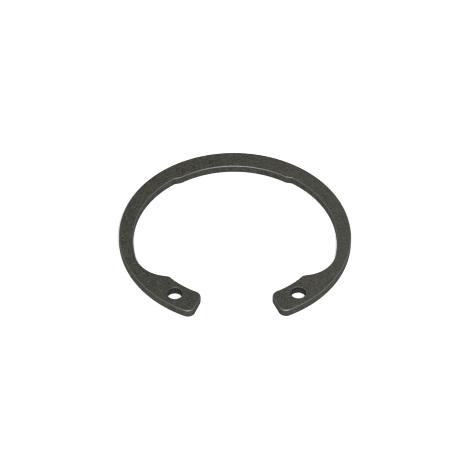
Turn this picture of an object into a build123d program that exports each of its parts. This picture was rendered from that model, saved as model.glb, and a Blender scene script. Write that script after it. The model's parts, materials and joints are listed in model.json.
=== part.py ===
from build123d import *
from math import asin, cos, degrees, radians, sin, sqrt
import os

# An internal retaining ring, stamped from flat spring steel. It is squeezed at its two lugs,
# put into a bored housing and springs out into a groove, so that its rim stands in the groove
# and its inner edge stands proud of the bore.
# The origin is on the ring's axis, halfway through its thickness. +Z is the axis and the gap
# between the lugs faces -Y. The ring is the same on both sides of the YZ plane.
# Lengths are in millimetres and angles in degrees.

# The blank
free_diameter = 39.8  # across the rim, with nothing squeezing the ring
stock_thickness = 1.5
upper_edge_round = 0.25  # where the punch drew the edges of the upper face down
lower_edge_bevel = 0.15  # where tumbling took the burr off the lower face

# The pad at the back, opposite the gap
pad_width = 3.41  # from the rim to the pad's inner edge
pad_half_angle = 33.2  # from the middle of the back to each end of the pad
pad_corner_round = 0.6

# The arms, which grow narrower from the pad to the lugs
step_run = 1.065  # along the pad's circle, from the pad's end to where the arm starts
arm_side_width = 2.48  # of an arm where it crosses the X axis
arm_taper_offset = 0.62  # how far the inner arc's centre lies towards the gap
arm_corner_round = 0.8

# The relief and the ramp, between the arm and the lug
foot_width = 1.6  # from the rim to the corner between relief and ramp, before its blend
relief_run = 9.47  # along the foot's circle, from that corner back to the arm's inner arc
ramp_run = 3.06  # along the lug's inner circle, from the lug's shoulder back to that corner
neck_blend = 5.75
shoulder_round = 0.6

# The lugs
gap_half_angle = 22.6  # from the middle of the gap to each lug's end
lug_height = 4.98  # from the rim to the lug's inner edge
lug_length = 7.03  # along the lug's inner edge, from its end to its shoulder
lug_inner_corner = 1.3
lug_outer_corner = 1.3

# The holes for the pliers' tips
plier_hole_diameter = 2.6
plier_hole_setback = 4.39  # from the lug's end to the hole's centre
plier_hole_inset = 0.1  # how far the hole lies inside the middle of the lug's height
plier_hole_round = 0.08  # of its upper edge
plier_hole_bevel = 0.1  # of its lower edge


# Radii from the ring's axis
rim_radius = free_diameter / 2
pad_radius = rim_radius - pad_width
side_radius = rim_radius - arm_side_width
foot_radius = rim_radius - foot_width
lug_radius = rim_radius - lug_height
hole_circle_radius = rim_radius - lug_height / 2 - plier_hole_inset

# Angles from the middle of the back
arm_start_angle = pad_half_angle + degrees(step_run / pad_radius)
lug_end_angle = 180.0 - gap_half_angle
shoulder_angle = lug_end_angle - degrees(lug_length / lug_radius)
foot_angle = shoulder_angle - degrees(ramp_run / lug_radius)
relief_angle = foot_angle - degrees(relief_run / foot_radius)
plier_hole_angle = lug_end_angle - degrees(asin(plier_hole_setback / hole_circle_radius))


def polar(radius, angle):
    """The point at a radius, turned from the middle of the back towards +X."""
    return Vector(radius * sin(radians(angle)), radius * cos(radians(angle)))


def arm_point(angle):
    """The point of the arm's inner arc in a direction from the ring's axis."""
    arc_radius = sqrt(side_radius**2 + arm_taper_offset**2)
    across = arm_taper_offset * sin(radians(angle))
    along = arm_taper_offset * cos(radians(angle))
    return polar(sqrt(arc_radius**2 - across**2) - along, angle)


def concentric_arc(radius, start, end):
    """An arc about the ring's axis."""
    return ThreePointArc(polar(radius, start), polar(radius, (start + end) / 2), polar(radius, end))


# The inner edge of one arm and lug, from the pad to the rim
pad_end = polar(pad_radius, pad_half_angle)
arm_start = arm_point(arm_start_angle)
arm_middle = arm_point((arm_start_angle + relief_angle) / 2)
relief_start = arm_point(relief_angle)
ramp_foot = polar(foot_radius, foot_angle)
shoulder = polar(lug_radius, shoulder_angle)
lug_inner_end = polar(lug_radius, lug_end_angle)
lug_outer_end = polar(rim_radius, lug_end_angle)

step = Line(pad_end, arm_start)
arm = ThreePointArc(arm_start, arm_middle, relief_start)
relief = TangentArc(relief_start, ramp_foot, tangent=arm % 1)
ramp = Line(ramp_foot, shoulder)
lug_inner_edge = concentric_arc(lug_radius, shoulder_angle, lug_end_angle)
lug_end = Line(lug_inner_end, lug_outer_end)
one_side = step + arm + relief + ramp + lug_inner_edge + lug_end

# The whole outline: the pad's edge, both sides and the rim
pad_edge = concentric_arc(pad_radius, -pad_half_angle, pad_half_angle)
rim = concentric_arc(rim_radius, -lug_end_angle, lug_end_angle)
profile = make_face(pad_edge + one_side + mirror(one_side, Plane.YZ) + rim)

# The rounds of the outline's corners, the same on both sides
corner_rounds = [
    (pad_end, pad_corner_round),
    (arm_start, arm_corner_round),
    (ramp_foot, neck_blend),
    (shoulder, shoulder_round),
    (lug_inner_end, lug_inner_corner),
    (lug_outer_end, lug_outer_corner),
]
for point, radius in corner_rounds:
    for corner in (point, Vector(-point.X, point.Y)):
        vertex = profile.vertices().sort_by_distance(corner)[0]
        profile = fillet(vertex, radius)

# The stamped blank, with its upper edges drawn round and its lower edges tumbled
ring = extrude(profile, stock_thickness / 2, both=True)
ring = fillet(ring.faces().sort_by(Axis.Z)[-1].edges(), upper_edge_round)
ring = chamfer(ring.faces().sort_by(Axis.Z)[0].edges(), lower_edge_bevel)

# The pliers' holes, punched through the lugs, with edges of the same two kinds
for side in (-1, 1):
    hole_centre = polar(hole_circle_radius, side * plier_hole_angle)
    ring -= Pos(hole_centre) * Cylinder(plier_hole_diameter / 2, stock_thickness)
ring = fillet(ring.faces().sort_by(Axis.Z)[-1].inner_wires().edges(), plier_hole_round)
ring = chamfer(ring.faces().sort_by(Axis.Z)[0].inner_wires().edges(), plier_hole_bevel)
ring.label = "retaining_ring"

os.makedirs("parts", exist_ok=True)
export_step(ring, "parts/retaining_ring.step")
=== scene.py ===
"""The look of an internal retaining ring: its phosphate finish, and the studio that it is shown in.

The ring lies flat in the middle of a pale floor, with the gap between its lugs towards the camera.
Lengths are in metres and angles in degrees, unless a docstring says otherwise.
"""

import json
import logging
import math
from dataclasses import dataclass, field
from enum import Enum
from typing import Any, Mapping, Optional, Sequence, Union

import bpy
from mathutils import Matrix, Vector


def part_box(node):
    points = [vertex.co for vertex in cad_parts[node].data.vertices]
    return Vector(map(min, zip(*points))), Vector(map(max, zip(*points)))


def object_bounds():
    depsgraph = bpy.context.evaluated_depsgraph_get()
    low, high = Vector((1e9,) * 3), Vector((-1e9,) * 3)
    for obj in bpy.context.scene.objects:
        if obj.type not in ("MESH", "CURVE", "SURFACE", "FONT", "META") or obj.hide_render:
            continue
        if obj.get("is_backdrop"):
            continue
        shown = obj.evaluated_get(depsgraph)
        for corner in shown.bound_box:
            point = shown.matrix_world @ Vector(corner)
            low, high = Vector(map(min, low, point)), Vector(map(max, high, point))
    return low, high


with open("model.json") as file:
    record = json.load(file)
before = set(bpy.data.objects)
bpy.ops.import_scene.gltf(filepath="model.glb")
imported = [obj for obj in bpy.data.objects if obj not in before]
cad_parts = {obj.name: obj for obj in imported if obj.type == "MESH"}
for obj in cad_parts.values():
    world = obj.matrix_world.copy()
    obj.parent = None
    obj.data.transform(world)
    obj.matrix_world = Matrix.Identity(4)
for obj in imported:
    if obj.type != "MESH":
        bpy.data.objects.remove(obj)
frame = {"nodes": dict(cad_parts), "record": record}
CAD_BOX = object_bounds()

LOG = logging.getLogger("retaining_ring")
MILLIMETRE = 0.001
PATTERN_MEAN = 0.5

Colour = tuple[float, float, float]
Place = tuple[float, float, float]
Span = tuple[float, float]
Socket = bpy.types.NodeSocket
Operand = Union["Signal", Socket, int, float]


def grey(level: float) -> Colour:
    """Returns a neutral colour of one level."""
    return (level, level, level)


def rgba(colour: Colour) -> tuple[float, float, float, float]:
    """Returns a colour with full cover."""
    return (*colour, 1.0)


def direction(azimuth: float, elevation: float) -> Vector:
    """Returns the unit vector at a turn from the front towards +X and a rise above the floor."""
    turn, rise = math.radians(azimuth), math.radians(elevation)
    return Vector((math.sin(turn) * math.cos(rise), -math.cos(turn) * math.cos(rise), math.sin(rise)))


class Signal:
    """A number that varies over a surface, written in Python as an expression of other numbers."""

    def __init__(self, shader: "Shader", socket: Socket) -> None:
        """Wraps one output of a shader's nodes."""
        self.shader = shader
        self.socket = socket

    def _math(self, operation: str, *operands: Operand) -> "Signal":
        """Returns the result of one Math node, which takes the operands in order."""
        node = self.shader.node("ShaderNodeMath", {"operation": operation}, dict(enumerate(operands)))
        return Signal(self.shader, node.outputs[0])

    def __add__(self, other: Operand) -> "Signal":
        """Returns the sum."""
        return self._math("ADD", self, other)

    def __radd__(self, other: Operand) -> "Signal":
        """Returns the sum, the other way round."""
        return self._math("ADD", other, self)

    def __sub__(self, other: Operand) -> "Signal":
        """Returns the difference."""
        return self._math("SUBTRACT", self, other)

    def __rsub__(self, other: Operand) -> "Signal":
        """Returns the difference, the other way round."""
        return self._math("SUBTRACT", other, self)

    def __mul__(self, other: Operand) -> "Signal":
        """Returns the product."""
        return self._math("MULTIPLY", self, other)

    def __rmul__(self, other: Operand) -> "Signal":
        """Returns the product, the other way round."""
        return self._math("MULTIPLY", other, self)

    def __abs__(self) -> "Signal":
        """Returns the size without its sign."""
        return self._math("ABSOLUTE", self)

    def step(self, low: float, high: float) -> "Signal":
        """Rises softly from nought to one.

        Args:
            low: Where the rise starts.
            high: Where it ends. It may be the lower of the two, which turns the rise round.

        Returns:
            The share of the way from low to high, eased at both ends.
        """
        node = self.shader.node(
            "ShaderNodeMapRange",
            {"interpolation_type": "SMOOTHSTEP"},
            {"Value": self, "From Min": low, "From Max": high},
        )
        return Signal(self.shader, node.outputs["Result"])


class Shader:
    """One material's node tree."""

    def __init__(self, name: str) -> None:
        """Starts an empty material.

        Args:
            name: The material's name.
        """
        self.material = bpy.data.materials.new(name)
        self.material.use_nodes = True
        self.tree = self.material.node_tree
        self.tree.nodes.clear()

    def node(
        self,
        kind: str,
        settings: Optional[Mapping[str, Any]] = None,
        inputs: Optional[Mapping[Union[str, int], Any]] = None,
    ) -> bpy.types.Node:
        """Adds a node of any kind.

        Args:
            kind: Blender's name of the node type.
            settings: The node's own options, set before its sockets.
            inputs: A value or a link for each socket, by name or by place.

        Returns:
            The new node.
        """
        node = self.tree.nodes.new(kind)
        for option, setting in (settings or {}).items():
            setattr(node, option, setting)
        for socket, value in (inputs or {}).items():
            source = value.socket if isinstance(value, Signal) else value
            if isinstance(source, Socket):
                self.tree.links.new(source, node.inputs[socket])
            else:
                node.inputs[socket].default_value = source
        return node

    def mix(self, share: Operand, first: Union[Colour, Socket], second: Union[Colour, Socket]) -> Socket:
        """Returns the mix of two colours, where share says how much of the second there is."""
        # A Mix node takes its colours at sockets 6 and 7 and gives their mix at output 2
        inputs = {0: share, 6: self._ink(first), 7: self._ink(second)}
        return self.node("ShaderNodeMix", {"data_type": "RGBA"}, inputs).outputs[2]

    def _ink(self, colour: Union[Colour, Socket]) -> Any:
        """Returns a link as it is, and a colour with full cover."""
        return colour if isinstance(colour, Socket) else rgba(colour)

    def split(self, vector: Socket) -> tuple[Signal, ...]:
        """Returns a vector's three parts."""
        node = self.node("ShaderNodeSeparateXYZ", None, {0: vector})
        return tuple(Signal(self, output) for output in node.outputs)

    def scaled(self, place: Socket, factors: Sequence[float]) -> Socket:
        """Returns a place scaled by a factor along each of X, Y and Z."""
        node = self.node("ShaderNodeVectorMath", {"operation": "MULTIPLY"}, {0: place, 1: tuple(factors)})
        return node.outputs[0]

    def distance(self, place: Socket, point: Place) -> Signal:
        """Returns how far a place lies from a point."""
        node = self.node("ShaderNodeVectorMath", {"operation": "DISTANCE"}, {0: place, 1: point})
        return Signal(self, node.outputs["Value"])

    def cells(self, place: Socket, width: float) -> Signal:
        """Cuts space into small uneven cells.

        Args:
            place: Where on the surface.
            width: The width of one cell.

        Returns:
            A number between nought and one, drawn afresh for every cell.
        """
        inputs = {"Vector": self.scaled(place, [1.0 / width] * 3), "Scale": 1.0}
        node = self.node("ShaderNodeTexVoronoi", None, inputs)
        return self.split(node.outputs["Color"])[0]

    def close(self, surface: Socket) -> bpy.types.Material:
        """Joins the surface to the output and returns the material."""
        self.node("ShaderNodeOutputMaterial", None, {"Surface": surface})
        return self.material


@dataclass(frozen=True)
class Pattern:
    """A cloudy pattern between about nought and one."""

    size: float
    detail: float
    stretch: float = 1.0

    def build(self, shader: Shader, place: Socket) -> Signal:
        """Lays the pattern over a surface.

        Args:
            shader: The shader that it becomes part of.
            place: Where on the surface.

        Returns:
            The pattern, whose grains are as long along Z as the stretch says.
        """
        per_metre = 1.0 / self.size
        scaled = shader.scaled(place, (per_metre, per_metre, per_metre / self.stretch))
        inputs = {"Vector": scaled, "Scale": 1.0, "Detail": self.detail}
        return Signal(shader, shader.node("ShaderNodeTexNoise", None, inputs).outputs["Fac"])


@dataclass(frozen=True)
class PlierHole:
    """A hole for one of the pliers' tips, and how wide its rounded edge is."""

    centre: Place
    radius: float
    edge: float = 0.1 * MILLIMETRE

    @property
    def mouth(self) -> float:
        """How far from its axis the hole's edge ends."""
        return self.radius + self.edge

    @classmethod
    def from_mount(cls, mount: Mapping[str, Any]) -> "PlierHole":
        """Reads a hole from its mount in the record."""
        x, y, _ = mount["pos_m"]
        return cls((x, y, 0.0), mount["dims"]["r_mm"] * MILLIMETRE)


@dataclass(frozen=True)
class Landmarks:
    """Where the ring's rim, the tips of its lugs and its plier holes are.

    The rim is given by its radius, and the tips by the Y of the ring's front.
    """

    rim: float
    front: float
    holes: tuple[PlierHole, ...]

    @classmethod
    def from_frame(cls, node: str) -> "Landmarks":
        """Reads the landmarks from the record's mounts and from the ring's box.

        Args:
            node: The ring's node.

        Returns:
            The landmarks.
        """
        mounts = frame["record"]["mounts"]
        rim = next(mount["dims"]["r_mm"] for mount in mounts if mount["name"] == "rim") * MILLIMETRE
        holes = tuple(PlierHole.from_mount(mount) for mount in mounts if mount["kind"] == "bore")
        return cls(rim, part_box(node)[0].y, holes)


@dataclass(frozen=True)
class Surface:
    """The ring's surface as its shader sees it.

    The flat place is the place without its height, and across and along are its X and Y.
    Upward is one on a flat face and nought on a wall.
    Grain, mottle and streak are the patterns that several pieces of the finish share.
    """

    shader: Shader
    place: Socket
    flat_place: Socket
    across: Signal
    along: Signal
    upward: Signal
    grain: Signal
    mottle: Signal
    streak: Signal


@dataclass(frozen=True)
class Coat:
    """The coat on the flat faces: crystals of uneven tone, slow changes of hue, and painted light that
    makes it paler to the right.
    """

    dark: Colour = (0.008, 0.008, 0.005)
    pale: Colour = (0.063, 0.063, 0.049)
    warm: Colour = (0.042, 0.033, 0.024)
    cool: Colour = (0.023, 0.033, 0.026)
    crystal: float = 0.15 * MILLIMETRE
    tint: Pattern = Pattern(3.2 * MILLIMETRE, detail=1.0)
    tint_span: Span = (0.35, 0.65)
    mottle_span: Span = (0.3, 0.7)
    mottle_share: float = 0.5
    # Painted light: how much paler the flat faces turn towards +X, and over what reach
    painted_light_share: float = 0.16
    painted_light_reach: float = 16.0 * MILLIMETRE

    def build(self, surface: Surface, pale_and_painted_light: Colour) -> Socket:
        """Mixes the coat's colour.

        Args:
            surface: The ring's surface.
            pale_and_painted_light: The paler colour that paints the brighter light on the right.

        Returns:
            The colour.
        """
        mix = surface.shader.mix
        crystals = mix(surface.shader.cells(surface.place, self.crystal), self.dark, self.pale)
        warmth = self.tint.build(surface.shader, surface.place).step(*self.tint_span)
        tinted = mix(warmth, self.cool, self.warm)
        mottled = mix(surface.mottle.step(*self.mottle_span) * self.mottle_share, crystals, tinted)
        # Painted light: the flat faces turn paler towards +X, as though lit more brightly from the right
        return mix(surface.across.step(0.0, self.painted_light_reach) * self.painted_light_share, mottled, pale_and_painted_light)


@dataclass(frozen=True)
class PunchedWall:
    """The coat on the punched walls: patches left by the shear, painted shade that darkens the holes, and
    paler on the rim.
    """

    sheared: Colour = (0.017, 0.017, 0.014)
    torn: Colour = (0.052, 0.051, 0.043)
    streak_share: float = 0.4
    mottle_share: float = 0.35
    grain_share: float = 0.25
    patch_span: Span = (0.38, 0.66)
    # Painted shade inside the holes: its colour and how much of it is mixed in
    hole_painted_shade: Colour = (0.010, 0.010, 0.008)
    hole_shade_share: float = 0.55
    rim_share: float = 0.17
    rim_depth: float = 0.4 * MILLIMETRE

    def build(self, surface: Surface, landmarks: Landmarks, pale_and_painted_light: Colour) -> Socket:
        """Mixes the walls' colour.

        Args:
            surface: The ring's surface.
            landmarks: Where the rim and the holes are.
            pale_and_painted_light: The paler colour that the rim's wall takes.

        Returns:
            The colour.
        """
        mix = surface.shader.mix
        patches = (
            self.streak_share * surface.streak
            + self.mottle_share * surface.mottle
            + self.grain_share * surface.grain
        )
        punched = mix(patches.step(*self.patch_span), self.sheared, self.torn)
        # Painted shade: the walls inside the holes are darkened
        shaded_in_holes = mix(self.in_hole(surface, landmarks) * self.hole_shade_share, punched, self.hole_painted_shade)
        # The rim's wall is made paler
        return mix(self.on_rim(surface, landmarks) * self.rim_share, shaded_in_holes, pale_and_painted_light)

    def in_hole(self, surface: Surface, landmarks: Landmarks) -> Signal:
        """Finds the walls of the holes, where shade is painted.

        Args:
            surface: The ring's surface.
            landmarks: Where the holes are.

        Returns:
            One inside a hole and nought outside its mouth.
        """
        place = surface.flat_place
        distance = surface.shader.distance
        return sum(distance(place, hole.centre).step(hole.mouth, hole.radius) for hole in landmarks.holes)

    def on_rim(self, surface: Surface, landmarks: Landmarks) -> Signal:
        """Returns one on the rim's wall and nought further in."""
        from_axis = surface.shader.distance(surface.flat_place, (0.0, 0.0, 0.0))
        return from_axis.step(landmarks.rim - 2.0 * self.rim_depth, landmarks.rim - self.rim_depth)


@dataclass(frozen=True)
class WornEdge:
    """Bare steel where tumbling wore the coat off the rounded edges, most of all at the lugs' tips, where
    paler steel also paints a brighter highlight.
    """

    steel: Colour = (0.118, 0.118, 0.107)
    # Paler steel at the lugs' tips: worn steel that is also made paler to paint a brighter highlight there
    tip_steel_and_highlight: Colour = (0.166, 0.168, 0.152)
    tip_highlight_reach: float = 0.7 * MILLIMETRE
    metal: float = 0.69
    roughness: float = 0.46
    wall_span: Span = (0.35, 0.65)
    face_span: Span = (0.995, 0.94)
    wear_span: Span = (0.0, 0.5)

    def edge(self, surface: Surface) -> Signal:
        """Returns one on the round edges and nought on walls and flat faces."""
        return surface.upward.step(*self.wall_span) * surface.upward.step(*self.face_span)

    def rubbed(self, surface: Surface, edge: Signal) -> Signal:
        """Returns how much of the coat is worn off, which leaves a little in the hollows of the grain."""
        return edge * surface.grain.step(*self.wear_span)

    def build(self, surface: Surface, landmarks: Landmarks) -> Socket:
        """Returns the steel's colour, which is palest at the lugs' tips to paint a brighter highlight
        there.
        """
        # Painted highlight: the worn steel is paler near the lugs' tips, so their highlight shows brighter
        tip_highlight = surface.along.step(landmarks.front + self.tip_highlight_reach, landmarks.front)
        return surface.shader.mix(tip_highlight, self.steel, self.tip_steel_and_highlight)


@dataclass(frozen=True)
class Relief:
    """The fine unevenness of the coat and of the punched walls."""

    depth: float = 0.2 * MILLIMETRE
    strength: float = 0.35
    loss_on_edge: float = 0.6
    loss_on_wall: float = 0.5

    def build(self, surface: Surface, wall: Signal, edge: Signal) -> Socket:
        """Turns the surface's normal by the patterns.

        Args:
            surface: The ring's surface.
            wall: One on the walls, where the streaks show and the grain is weaker.
            edge: One on the round edges, which are smoother.

        Returns:
            The turned normal.
        """
        height = surface.grain * (1.0 - self.loss_on_wall * wall) + surface.streak * wall
        strength = self.strength * (1.0 - self.loss_on_edge * edge)
        inputs = {"Strength": strength, "Distance": self.depth, "Height": height}
        return surface.shader.node("ShaderNodeBump", None, inputs).outputs["Normal"]


@dataclass(frozen=True)
class PhosphateFinish:
    """A dark phosphate coat on stamped spring steel, matt, thinly oiled and tumbled."""

    coat: Coat = Coat()
    wall: PunchedWall = PunchedWall()
    worn: WornEdge = WornEdge()
    relief: Relief = Relief()
    # A paler tone: it paints brighter light on the right of the flat faces, and makes the rim's wall paler
    pale_tone_and_painted_light: Colour = (0.078, 0.078, 0.064)
    grain: Pattern = Pattern(0.18 * MILLIMETRE, detail=3.0)
    mottle: Pattern = Pattern(0.9 * MILLIMETRE, detail=2.0)
    streak: Pattern = Pattern(0.12 * MILLIMETRE, detail=2.0, stretch=14.0)
    wall_span: Span = (0.35, 0.05)
    roughness: float = 0.78
    roughness_spread: float = 0.1
    wall_roughness: float = 0.90
    index_of_refraction: float = 1.35

    def surface(self, shader: Shader) -> Surface:
        """Reads the ring's surface in a shader.

        Args:
            shader: The shader.

        Returns:
            The surface.
        """
        place = shader.node("ShaderNodeTexCoord").outputs["Object"]
        normal = shader.node("ShaderNodeNewGeometry").outputs["Normal"]
        across, along, _ = shader.split(place)
        return Surface(
            shader=shader,
            place=place,
            flat_place=shader.scaled(place, (1.0, 1.0, 0.0)),
            across=across,
            along=along,
            upward=abs(shader.split(normal)[2]),
            grain=self.grain.build(shader, place),
            mottle=self.mottle.build(shader, place),
            streak=self.streak.build(shader, place),
        )

    def build(self, name: str, landmarks: Landmarks) -> bpy.types.Material:
        """Makes the material.

        Args:
            name: The material's name.
            landmarks: Where the rim, the lugs' tips and the holes are.

        Returns:
            The material.
        """
        shader = Shader(name)
        surface = self.surface(shader)
        wall = surface.upward.step(*self.wall_span)
        edge = self.worn.edge(surface)
        rubbed = self.worn.rubbed(surface, edge)

        face_coat = self.coat.build(surface, self.pale_tone_and_painted_light)
        wall_coat = self.wall.build(surface, landmarks, self.pale_tone_and_painted_light)
        coat = shader.mix(wall, face_coat, wall_coat)
        colour = shader.mix(rubbed, coat, self.worn.build(surface, landmarks))

        roughness = (
            self.roughness
            + self.roughness_spread * (surface.grain - PATTERN_MEAN)
            + (self.wall_roughness - self.roughness) * wall
            + (self.worn.roughness - self.roughness) * rubbed
        )
        steel = shader.node(
            "ShaderNodeBsdfPrincipled",
            None,
            {
                "Base Color": colour,
                "Roughness": roughness,
                "Metallic": rubbed * self.worn.metal,
                "IOR": self.index_of_refraction,
                "Normal": self.relief.build(surface, wall, edge),
            },
        )
        return shader.close(steel.outputs["BSDF"])


@dataclass(frozen=True)
class PaperFinish:
    """Plain white matt paper."""

    colour: Colour = grey(0.86)
    roughness: float = 0.9
    specular: float = 0.1

    def build(self, name: str) -> bpy.types.Material:
        """Makes the material.

        Args:
            name: The material's name.

        Returns:
            The material.
        """
        shader = Shader(name)
        paper = shader.node(
            "ShaderNodeBsdfPrincipled",
            None,
            {
                "Base Color": rgba(self.colour),
                "Roughness": self.roughness,
                "Specular IOR Level": self.specular,
            },
        )
        return shader.close(paper.outputs["BSDF"])


@dataclass
class RetainingRing:
    """The ring itself, which keeps its own solid and takes its finish."""

    node: str = "retaining_ring"
    slot: str = "phosphated_steel"
    finish: PhosphateFinish = PhosphateFinish()

    def dress(self) -> bpy.types.Object:
        """Puts the finish on the ring.

        Returns:
            The dressed ring.
        """
        ring = frame["nodes"][self.node]
        material = self.finish.build(self.slot + "_finish", Landmarks.from_frame(self.node))
        for slot in ring.material_slots:
            slot.material = material
        return ring

    def centre(self) -> Vector:
        """Returns the middle of the ring's box."""
        low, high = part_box(self.node)
        return (low + high) / 2

    def underside(self) -> float:
        """Returns how high the lower face lies."""
        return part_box(self.node)[0].z


@dataclass
class Floor:
    """A wide pale floor right under the ring."""

    height: float
    reach: float = 3.0
    finish: PaperFinish = PaperFinish()

    def build(self) -> bpy.types.Object:
        """Makes the floor.

        Returns:
            The floor's object.
        """
        turns = ((-1, -1), (1, -1), (1, 1), (-1, 1))
        corners = [(x * self.reach, y * self.reach, self.height) for x, y in turns]
        mesh = bpy.data.meshes.new("floor")
        mesh.from_pydata(corners, [], [tuple(range(len(corners)))])
        mesh.materials.append(self.finish.build("floor_paper"))
        floor = bpy.data.objects.new("floor", mesh)
        bpy.context.scene.collection.objects.link(floor)
        floor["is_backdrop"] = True
        return floor


class LampRole(Enum):
    """What a lamp does in the studio."""

    KEY = "key"
    FILL = "fill"


@dataclass
class Softbox:
    """A soft square lamp that faces the ring. Its power is in watts."""

    role: LampRole
    azimuth: float
    elevation: float
    distance: float
    width: float
    power: float

    def build(self, target: Vector) -> bpy.types.Object:
        """Makes the lamp.

        Args:
            target: The point that it faces.

        Returns:
            The lamp's object.
        """
        lamp = bpy.data.lights.new(self.role.value + "_softbox", "AREA")
        lamp.shape = "SQUARE"
        lamp.size = self.width
        lamp.energy = self.power
        softbox = bpy.data.objects.new(lamp.name, lamp)
        outward = direction(self.azimuth, self.elevation)
        softbox.location = target + outward * self.distance
        softbox.rotation_euler = outward.to_track_quat("Z", "Y").to_euler()
        bpy.context.scene.collection.objects.link(softbox)
        return softbox


@dataclass
class Surroundings:
    """The even white light that comes from all round."""

    level: float = 0.316

    def build(self) -> None:
        """Makes the scene's world."""
        world = bpy.data.worlds.new("studio")
        world.use_nodes = True
        background = world.node_tree.nodes["Background"]
        background.inputs["Color"].default_value = rgba(grey(1.0))
        background.inputs["Strength"].default_value = self.level
        bpy.context.scene.world = world


@dataclass
class PhotoCamera:
    """A long lens at the photograph's viewing angle.

    It looks at a point of the floor, given along X and Y. Its lens and its sensor are in millimetres.
    """

    azimuth: float = -1.75
    elevation: float = 45.96
    roll: float = 0.895
    distance: float = 0.995
    aim: tuple[float, float] = (0.034 * MILLIMETRE, 1.357 * MILLIMETRE)
    lens: float = 443.8
    sensor: float = 36.0
    nearest: float = 0.01
    furthest: float = 20.0

    def build(self, floor_height: float) -> bpy.types.Object:
        """Makes the camera and gives it to the scene.

        Args:
            floor_height: How high the floor lies.

        Returns:
            The camera's object.
        """
        data = bpy.data.cameras.new("photo_camera")
        data.sensor_fit = "HORIZONTAL"
        data.sensor_width = self.sensor
        data.lens = self.lens
        data.clip_start = self.nearest
        data.clip_end = self.furthest
        camera = bpy.data.objects.new("photo_camera", data)
        outward = direction(self.azimuth, self.elevation)
        place = Vector((*self.aim, floor_height)) + outward * self.distance
        level = outward.to_track_quat("Z", "Y").to_matrix().to_4x4()
        tilt = Matrix.Rotation(math.radians(self.roll), 4, "Z")
        camera.matrix_world = Matrix.Translation(place) @ level @ tilt
        bpy.context.scene.collection.objects.link(camera)
        bpy.context.scene.camera = camera
        return camera


@dataclass
class Studio:
    """Everything round the ring: floor, lamps, surroundings and camera."""

    ring: RetainingRing
    surroundings: Surroundings = field(default_factory=Surroundings)
    lamps: Sequence[Softbox] = (
        Softbox(LampRole.KEY, azimuth=-0.4, elevation=52.2, distance=4.0, width=1.41, power=198.6),
        Softbox(LampRole.FILL, azimuth=78.0, elevation=62.0, distance=0.16, width=0.1, power=0.044),
    )
    camera: PhotoCamera = field(default_factory=PhotoCamera)
    pixel_filter: float = 1.1

    def build(self) -> list[bpy.types.Object]:
        """Sets the studio up round the ring.

        Returns:
            The objects that it is made of.
        """
        scene = bpy.context.scene
        scene.view_settings.view_transform = "Standard"
        scene.cycles.use_denoising = True
        scene.cycles.filter_width = self.pixel_filter
        self.surroundings.build()
        height = self.ring.underside()
        softboxes = [lamp.build(self.ring.centre()) for lamp in self.lamps]
        return [Floor(height).build(), *softboxes, self.camera.build(height)]


def write_sizes() -> None:
    """Works out the box of the solids and the box of what is shown."""
    boxes = {"cad": CAD_BOX, "visual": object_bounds()}
    plain = {name: [[float(part) for part in corner] for corner in box] for name, box in boxes.items()}


def main() -> None:
    """Dresses the ring, sets the studio up round it and reports each piece."""
    logging.basicConfig(level=logging.INFO, format="%(name)s: %(message)s")
    ring = RetainingRing()
    for piece in (ring.dress(), *Studio(ring).build()):
        LOG.info("%s, a %s", piece.name, piece.type.lower())
    write_sizes()


if __name__ == "__main__":
    main()
